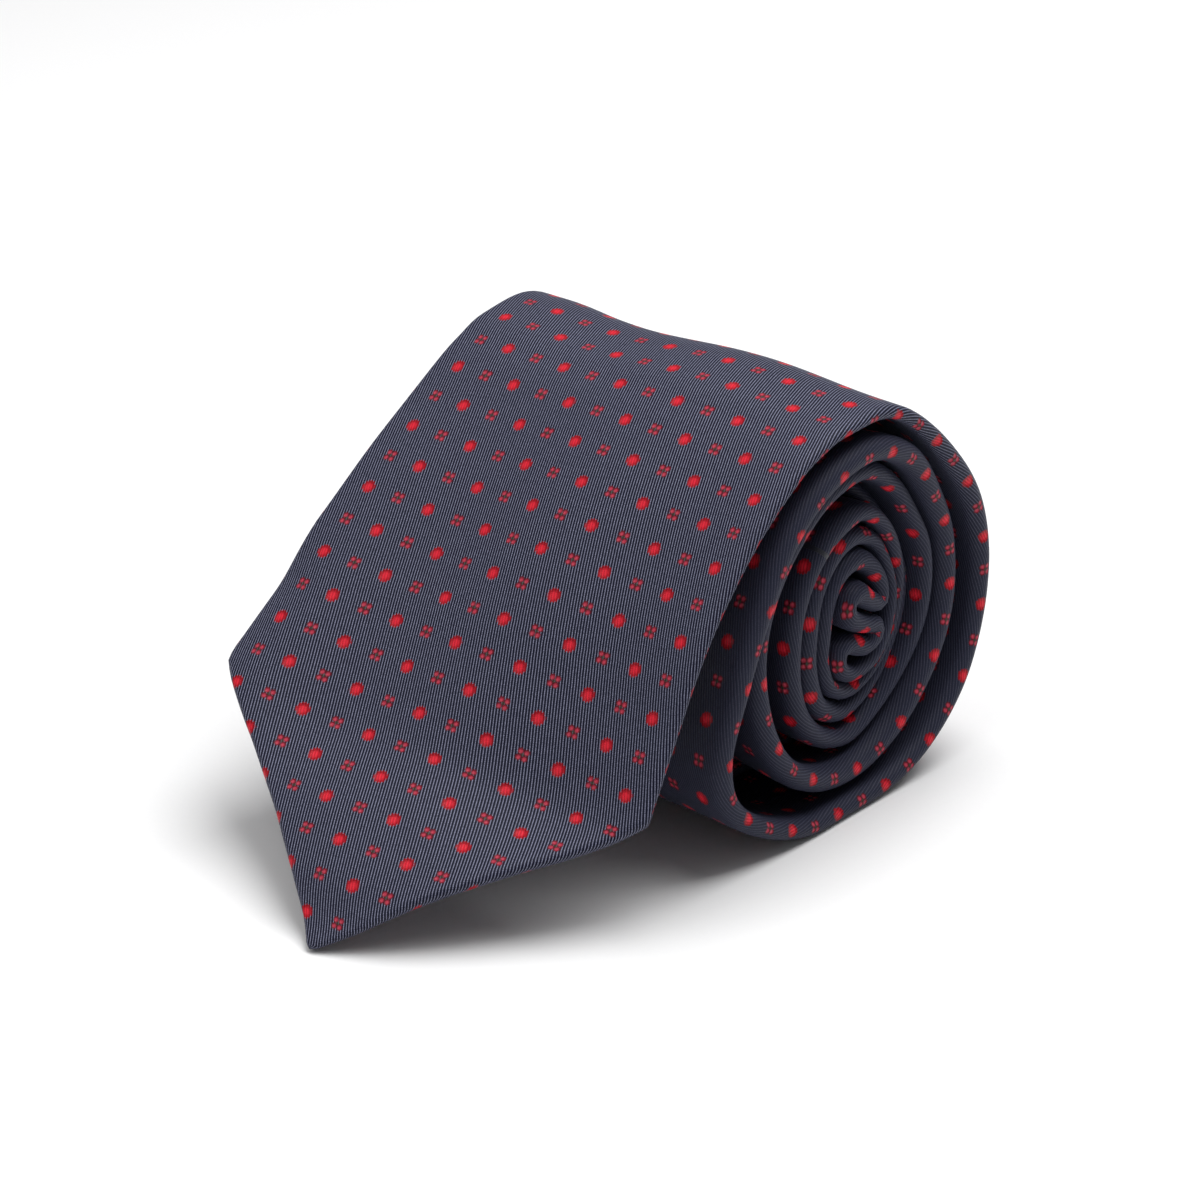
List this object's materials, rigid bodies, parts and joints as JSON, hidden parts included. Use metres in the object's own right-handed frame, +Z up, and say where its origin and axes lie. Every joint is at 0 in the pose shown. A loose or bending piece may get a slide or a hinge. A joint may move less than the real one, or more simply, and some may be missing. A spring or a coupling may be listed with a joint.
{
  "type": "necktie",
  "caption": "Patterned silk necktie, doubled and rolled up, with the pointed end of the blade draped off the roll as a free flap.",
  "frame": {"origin": "on the ground, below the middle of the rolled tie's bounding box", "axes": "+X along the roll's axis towards its flush end face, +Z up, the blade's point lies towards -Y"},
  "size_m": [0.09, 0.1358, 0.076],
  "materials": {
    "silk": "navy twill silk with woven red dots and small four-petal flowers",
    "interlining": "brushed wool and cotton interlining",
    "lining": "plain satin tipping",
    "thread": "twisted silk thread",
    "label": "blank woven satin label",
    "care_tape": "blank satin tape"
  },
  "bodies": {
    "roll": {"blade_shell_roll": "silk", "blade_interlining_roll": "interlining", "neck_shell": "silk", "tail_shell": "silk", "tail_interlining": "interlining", "tail_tipping": "lining", "tail_bar_tack": "thread", "slip_stitch": "thread", "keeper_loop": "silk", "keeper_loop_stitches": "thread", "label_blank": "label", "label_stitches": "thread", "care_label": "care_tape", "blade_neck_seam": "thread", "neck_tail_seam": "thread"},
    "front_flap": {"blade_shell_flap": "silk", "blade_interlining_flap": "interlining", "blade_tipping": "lining", "blade_bar_tack": "thread"}
  },
  "joints": [
    {"name": "flap_lift", "type": "hinge", "parent": "roll", "child": "front_flap", "pos_m": [0, 0.02769, 0.07458], "axis": [-0.9982, 0.0521, -0.0287], "range_deg": [0, 100]}
  ]
}
